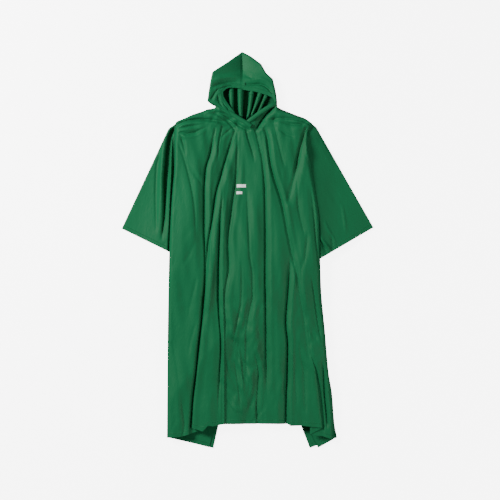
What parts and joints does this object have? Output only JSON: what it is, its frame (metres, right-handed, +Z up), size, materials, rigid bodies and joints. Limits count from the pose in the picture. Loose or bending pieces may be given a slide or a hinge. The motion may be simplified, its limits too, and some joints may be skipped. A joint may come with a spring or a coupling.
{
  "type": "rain poncho",
  "caption": "Pull-on hooded rain poncho of green coated cloth, laid out flat on its back, with a pleated front, turned-in sides and short wide sleeves.",
  "frame": {"origin": "centre of the garment's outline in plan, on the surface that its back lies on", "axes": "+X to the viewer's right looking down on the front, +Y from hem to hood, +Z up from the surface"},
  "size_m": [0.884, 1.39, 0.0443],
  "materials": {
    "cloth": "coated, smooth, soft sheen",
    "print": "flat white print"
  },
  "bodies": {
    "root": {"front_panel": "cloth", "back_panel": "cloth", "front_tuck_left": "cloth", "front_tuck_right": "cloth", "back_tuck_left": "cloth", "back_tuck_right": "cloth", "sleeve_left": "cloth", "sleeve_right": "cloth", "hood_left": "cloth", "hood_right": "cloth", "hood_throat_left": "cloth", "hood_throat_right": "cloth", "chest_mark_wide": "print", "chest_mark_small": "print"}
  },
  "joints": []
}
